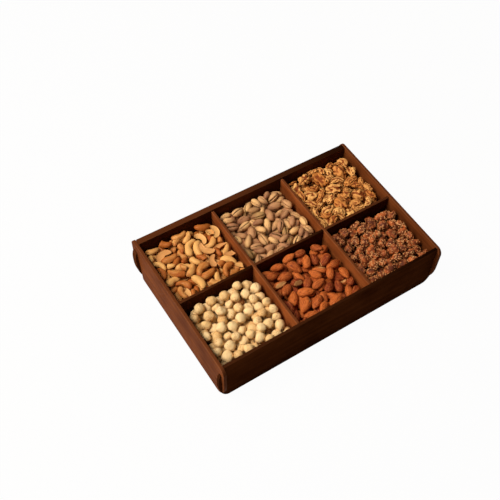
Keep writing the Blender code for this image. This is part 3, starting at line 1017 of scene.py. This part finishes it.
def hazelnut(ball, rng):
    """A round kernel with a low point, a flattened foot, blunt flats and a few creases."""
    along, side, up, radius = split_ball(ball)
    round_angle = np.arctan2(up, side)
    size = rng.uniform(0.86, 1.12)
    tip = np.clip(along, 0, 1)
    foot = np.clip(-along, 0, 1)
    crease = np.zeros(len(ball))
    for _ in range(rng.integers(2, 6)):
        away = np.angle(np.exp(1j * (round_angle - rng.uniform(0, 2 * math.pi))))
        lean = rng.uniform(-0.5, 0.5)
        crease = np.maximum(crease, bell(away + lean * along, 0.13) * rng.uniform(0.3, 1.0))
    crease = crease * np.clip(radius * 1.5, 0, 1)
    lumps = (1 + 0.045 * ripple(ball, rng, 6, 2.4)) * planed(ball, rng, 9, 0.15)
    hole = np.zeros(len(ball))
    if rng.random() < hazelnut_hole_share:
        hole = bell(np.arccos(np.clip(-along, -1, 1)), 0.36)
    girth = (1 - 0.18 * tip**3) * (1 - 0.09 * crease) * lumps
    y = size * hazelnut_girth / 2 * radius * side * girth
    z = size * hazelnut_girth / 2 * radius * up * girth * rng.uniform(0.86, 1.0)
    reach = along * (1 - 0.14 * foot**4) * lumps + 0.10 * tip**8 + 0.55 * hole
    x = size * hazelnut_length / 2 * reach
    # The mask, high in the creases and the hole, carries painted shade.
    return np.stack([x, y, z], axis=1), np.clip(0.65 * crease + hole, 0, 1)


make_hazelnut = nut_maker(hazelnut, ball_grid(20, 24))

material, place, paint = new_material("hazelnut_kernel", Specular_IOR_Level=0.12)
grain = stored(place, "grain")
tint = stored(place, "tint")
along = stored(place, "along")
cloud = grain.noise(1.5, 3.0)
fine = grain.noise(6.0, 4.0)
base = (cloud * 0.7 + tint * 0.6 - 0.1).rise(0.2, 0.95).between(hazelnut_cream, hazelnut_tan)
shreds = (fine * 1.2 - along * 0.16 + tint * 0.10).rise(0.72, 0.92)
base = (shreds * 0.75).between(base, hazelnut_shred)
base = (tint.rise(0.950, 0.965) * fine.rise(0.3, 0.5)).between(base, hazelnut_skin)
# Painted shade: the creases and the odd hole are darkened.
base = stored(place, "mask").rise(0.15, 1.0).between(base, hazelnut_crease_shade)
paint(
    Base_Color=base,
    Roughness=fine * 0.25 + 0.42,
    Normal=(fine * 0.8 + cloud * 0.4).bump(hazelnut_relief, 0.7),
)
habit = (hazelnut_seed, hazelnut_roll, hazelnut_tilt, hazelnut_rear_top)
fill_compartment("hazelnut", "hazelnuts", make_hazelnut, *habit, material)


# Almonds: whole kernels in their reddish-brown skins, wrinkled along their length, and a few with
# a pale chip. They lie loose in the front middle compartment.

almond_length = 0.0197
almond_width = 0.0112
almond_depth = 0.0082
almond_chip_share = 0.12
almond_bow = 0.0008
almond_relief = 0.0011
almond_seed = 5
almond_roll = 0.6
almond_tilt = 0.40
almond_rear_top = 0.0660
almond_red = (0.520, 0.130, 0.028)
almond_brown = (0.200, 0.032, 0.010)
almond_ridge_highlight = (0.620, 0.205, 0.060)
almond_furrow_shade = (0.085, 0.012, 0.005)
almond_inside = (0.720, 0.400, 0.160)


def almond(ball, rng):
    """A flat drop that narrows to a point, fluted along its length. Some have a chip broken off."""
    along, side, up, radius = split_ball(ball)
    round_angle = np.arctan2(up, side)
    size = rng.uniform(0.84, 1.10)
    plump = rng.uniform(0.90, 1.20)
    tip = np.clip(along, 0, 1)
    taper = 1 - 0.13 * along - 0.16 * tip**3
    phases = rng.uniform(0, 6, 3)
    flutes = np.sin(7 * round_angle + 1.5 * along + phases[0])
    flutes = flutes + 0.7 * np.sin(12 * round_angle - 1.2 * along + phases[1])
    lumps = 1 + 0.06 * ripple(ball, rng, 5, 2.2)
    chip = np.ones(len(ball))
    if rng.random() < almond_chip_share:
        chip = planed(ball, rng, 1, 0.45)
    girth = radius * taper * (1 + 0.022 * flutes * radius) * lumps * chip
    x = size * almond_length / 2 * (along * chip + 0.04 * tip**6)
    y = size * almond_width / 2 * side * girth
    bow = almond_bow * rng.uniform(-1, 1) * (1 - along**2)
    z = size * plump * almond_depth / 2 * up * girth + bow
    return np.stack([x, y, z], axis=1), (chip < 0.97).astype(float)


make_almond = nut_maker(almond, ball_grid(20, 28))

material, place, paint = new_material("almond_skin", Specular_IOR_Level=0.10)
grain = stored(place, "grain")
tint = stored(place, "tint")
cloud = grain.noise(1.4, 3.0)
wrinkles = grain.stretched((0.9, 6.5, 6.5)).noise(1.0, 4.0)
base = (cloud * 0.6 + tint * 0.8 - 0.2).rise(0.10, 0.9).between(almond_red, almond_brown)
# Wrinkle ridges lighten, partly paler skin and partly painted highlight; furrows darken as painted
# shade.
base = (wrinkles.rise(0.50, 0.66) * 0.70).between(base, almond_ridge_highlight)
base = ((1 - wrinkles).rise(0.52, 0.66) * 0.80).between(base, almond_furrow_shade)
base = (stored(place, "mask") * 0.85).between(base, almond_inside)
paint(
    Base_Color=base,
    Roughness=wrinkles * 0.3 + 0.40,
    Normal=(wrinkles * 0.9 + cloud * 0.2).bump(almond_relief, 0.8),
)
habit = (almond_seed, almond_roll, almond_tilt, almond_rear_top)
fill_compartment("almond", "almonds", make_almond, *habit, material)


# Candied nuts: rough clusters of nut in a brown sugar glaze, with crumbs and sesame seeds stuck
# to them. They lie loose in the front right compartment.

candied_length = 0.0165
candied_width = 0.0138
candied_height = 0.0126
candied_knobs = 9
candied_seeds = 42
seed_size = np.array([0.0025, 0.0016, 0.0010]) / 2
seed_lift = 0.0001
candied_relief = 0.0008
candied_seed = 6
candied_roll = 2.0
candied_tilt = 0.6
candied_rear_top = 0.0635
glaze_red = (0.540, 0.140, 0.038)
glaze_brown = (0.240, 0.050, 0.016)
glaze_crumb = (0.700, 0.270, 0.090)
glaze_crease_shade = (0.070, 0.014, 0.005)
sesame_pale = (0.800, 0.420, 0.190)
sesame_brown = (0.450, 0.170, 0.065)


def candied(ball, rng):
    """A knobbly ball: its radius is the highest of some bells round random directions."""
    size = rng.uniform(0.80, 1.15)
    knobs = rng.normal(size=(candied_knobs, 3))
    knobs /= np.linalg.norm(knobs, axis=1)[:, None]
    widths = rng.uniform(0.38, 0.62, candied_knobs)
    heights = rng.uniform(0.5, 1.0, candied_knobs)
    away = np.arccos(np.clip(ball @ knobs.T, -1, 1))
    knob = (heights * bell(away, widths)).max(axis=1)
    crumbs = 1 + 0.045 * ripple(ball, rng, 9, 7.0)
    reach = (0.70 + 0.34 * knob) * crumbs
    sizes = np.array([candied_length, candied_width, candied_height]) / 2 * size
    sizes = sizes * (rng.uniform(0.9, 1.2), rng.uniform(0.8, 1.1), rng.uniform(0.8, 1.1))
    # The mask rises between the knobs, for the painted shade there.
    return ball * reach[:, None] * sizes, 0.45 * np.clip(1 - 1.3 * knob, 0, 1)


cluster_grid = ball_grid(18, 22)
seed_grid = ball_grid(3, 5)


def make_candied_nut(seed, fine):
    """A cluster with sesame seeds lying flat on its glaze."""
    if not fine:
        return one_surface(candied, coarse_grid, seed)
    rng = np.random.default_rng(seed + 1)
    ball, faces = cluster_grid
    spots = rng.normal(size=(candied_seeds, 3))
    spots /= np.linalg.norm(spots, axis=1)[:, None]
    points, mask = candied(np.concatenate([ball, spots]), np.random.default_rng(seed))
    surfaces = [(points[: len(ball)], faces, mask[: len(ball)], ball)]
    seed_ball, seed_faces = seed_grid
    taper = np.stack([np.ones(len(seed_ball)), 1 - 0.4 * seed_ball[:, 0]], axis=1)
    drop = seed_ball * seed_size * taper[:, [0, 1, 1]]
    for spot, place in zip(spots, points[len(ball) :]):
        ahead = np.cross(spot, rng.normal(size=3))
        ahead /= np.linalg.norm(ahead)
        axes = np.stack([ahead, np.cross(spot, ahead), spot])
        lying = drop @ axes + place + seed_lift * spot
        surfaces.append((lying, seed_faces, np.ones(len(drop)), seed_ball))
    return surfaces


material, place, paint = new_material("candied_glaze", Specular_IOR_Level=0.12, Coat_Roughness=0.2)
grain = stored(place, "grain")
tint = stored(place, "tint")
seeds = stored(place, "mask").rise(0.6, 0.9)
crease = stored(place, "mask").rise(0.05, 0.45)
cloud = grain.noise(2.2, 4.0)
crumbs = grain.noise(7.0, 3.0)
glaze = (cloud * 0.9 + tint * 0.7 - 0.2).rise(0.1, 0.9).between(glaze_red, glaze_brown)
glaze = (crumbs.rise(0.52, 0.62) * 0.7).between(glaze, glaze_crumb)
# Painted shade: the glaze darkens almost to black between the knobs.
glaze = (crease * 0.9).between(glaze, glaze_crease_shade)
base = seeds.between(glaze, tint.between(sesame_pale, sesame_brown))
paint(
    Base_Color=base,
    Roughness=cloud * 0.35 + 0.30,
    Coat_Weight=(1 - seeds) * 0.05,
    Normal=(cloud * 0.5 + crumbs * 0.7).bump(candied_relief, 0.7),
)
habit = (candied_seed, candied_roll, candied_tilt, candied_rear_top)
fill_compartment("candied_nut", "candied_nuts", make_candied_nut, *habit, material)


# Floor: a plain pale sheet under the tray. To the camera, and in gloss, it is close to white and
# keeps a faint shadow.

floor_half = 3.0
floor_drop = 0.0002
floor_white_share = 0.97
floor_colour = (0.50, 0.49, 0.47)
white = (1.0, 1.0, 1.0)
corners = [(-floor_half, -floor_half), (floor_half, -floor_half)]
corners += [(floor_half, floor_half), (-floor_half, floor_half)]
floor_data = bpy.data.meshes.new("floor")
floor_data.from_pydata([(x, y, -floor_drop) for x, y in corners], [], [(0, 1, 2, 3)])
floor = bpy.data.objects.new("floor", floor_data)
bpy.context.scene.collection.objects.link(floor)


def seen_directly(tree):
    """1 for the rays of the camera, of gloss and of glass, and 0 for the light on surfaces."""
    path = tree.nodes.new("ShaderNodeLightPath")
    kinds = ("Is Camera Ray", "Is Glossy Ray", "Is Transmission Ray")
    rays = [Wire(tree, path.outputs[kind]) for kind in kinds]
    return rays[0] + rays[1] + rays[2]


material, place, paint = new_material("floor", Roughness=0.9)
paint(Base_Color=floor_colour)
tree = material.node_tree
rays = seen_directly(tree)
glow = rays.node("ShaderNodeEmission", {}, {"Color": white, "Strength": 1.0})
plain = Wire(tree, tree.nodes["Principled BSDF"].outputs[0])
look = rays.node("ShaderNodeMixShader", {}, {0: rays * floor_white_share, 1: plain, 2: glow})
plug(tree, look, tree.nodes["Material Output"].inputs["Surface"])
floor_data.materials.append(material)


# Light: one large warm lamp high at the left, a weak low one beside it, and a dim pale sky.

key_place = (-0.95, 0.30, 1.45)
key_size = 0.9
key_power = 39.0
key_colour = (1.0, 0.87, 0.70)
side_place = (-1.50, 0.10, 0.45)
side_size = 0.6
side_power = 5.5
side_colour = (1.0, 0.86, 0.68)
aim = Vector((0, 0, 0.03))
sky_strength = 0.085
sky_colour = (1.0, 0.80, 0.60)


def soft_lamp(name, place, size, power, colour):
    """A square area lamp that faces the tray."""
    data = bpy.data.lights.new(name, "AREA")
    data.size = size
    data.energy = power
    data.color = colour
    lamp = bpy.data.objects.new(name, data)
    lamp.location = place
    lamp.rotation_euler = (aim - Vector(place)).to_track_quat("-Z", "Y").to_euler()
    bpy.context.scene.collection.objects.link(lamp)


soft_lamp("key_lamp", key_place, key_size, key_power, key_colour)
soft_lamp("side_lamp", side_place, side_size, side_power, side_colour)
world = bpy.data.worlds.new("studio")
world.use_nodes = True
bpy.context.scene.world = world
sky_tree = world.node_tree
sky = sky_tree.nodes["Background"]
sky_rays = seen_directly(sky_tree)
plug(sky_tree, sky_rays.between(sky_colour, white), sky.inputs["Color"])
plug(sky_tree, sky_rays * (1 - sky_strength) + sky_strength, sky.inputs["Strength"])
